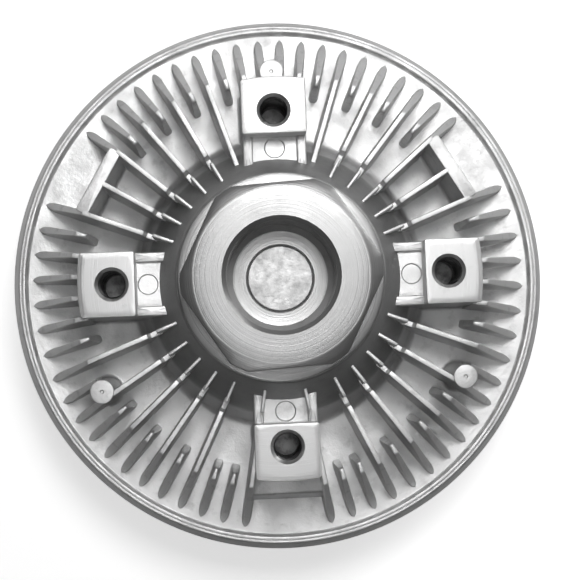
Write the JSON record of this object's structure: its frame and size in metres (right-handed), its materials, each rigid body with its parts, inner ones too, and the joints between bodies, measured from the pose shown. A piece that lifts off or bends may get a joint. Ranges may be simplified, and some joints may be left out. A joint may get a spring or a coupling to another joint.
{
  "type": "viscous fan clutch",
  "caption": "Viscous fan clutch: finned aluminium casting with fan pads, threaded hex hub nut, ball bearing, grooved rotor and bimetal valve inside.",
  "frame": {"origin": "on the axis, at the tips of the front cover's fins on which the part stands", "axes": "+Z along the axis towards the hub nut, +Y towards the fan pad between the two cross bars"},
  "size_m": [0.15, 0.15, 0.076],
  "materials": {
    "cast_aluminium": "as cast, pads and lip machined",
    "cover_aluminium": "as cast",
    "rotor_aluminium": "turned",
    "hub_steel": "turned and milled",
    "bearing_steel": "ground",
    "ball_steel": "polished",
    "plate_steel": "pressed sheet, plated",
    "rivet_steel": "headed, plated",
    "spring_steel": "blued",
    "cage_brass": "machined",
    "arm_brass": "pressed sheet",
    "bimetal_strip": "rolled strip, straw tint",
    "seal_rubber": "moulded"
  },
  "bodies": {
    "housing": {"rear_housing": "cast_aluminium", "front_cover": "cover_aluminium", "cover_seal_ring": "seal_rubber", "pump_plate": "plate_steel", "pump_plate_rivets": "rivet_steel", "bearing_outer_race": "bearing_steel", "bearing_rear_seal": "seal_rubber", "bearing_front_seal": "seal_rubber", "bearing_snap_ring": "spring_steel", "bimetal_coil": "bimetal_strip", "bimetal_bracket": "plate_steel", "bimetal_bracket_rivets": "rivet_steel"},
    "hub": {"hub_nut": "hub_steel", "drive_shaft": "hub_steel", "bearing_inner_race": "bearing_steel", "rotor": "rotor_aluminium", "rotor_retaining_ring": "spring_steel"},
    "cage": {"bearing_cage": "cage_brass", "bearing_balls": "ball_steel"},
    "valve": {"valve_shaft": "hub_steel", "valve_arm": "arm_brass", "valve_shaft_seal": "seal_rubber", "valve_shaft_clip": "spring_steel"}
  },
  "joints": [
    {"name": "hub_spin", "type": "hinge", "parent": "housing", "child": "hub", "pos_m": [0, 0, 0.043], "axis": [0, 0, 1], "continuous": true},
    {"name": "cage_spin", "type": "hinge", "parent": "housing", "child": "cage", "pos_m": [0, 0, 0.043], "axis": [0, 0, 1], "continuous": true},
    {"name": "valve_turn", "type": "hinge", "parent": "housing", "child": "valve", "pos_m": [0, 0, 0.012], "axis": [0, 0, 1], "range_deg": [0, 36], "stiffness_Nm_per_rad": 0.02, "deforming": ["bimetal_coil"]}
  ],
  "couplings": [
    {"joint": "cage_spin", "follows": "hub_spin", "ratio": 0.3815}
  ]
}
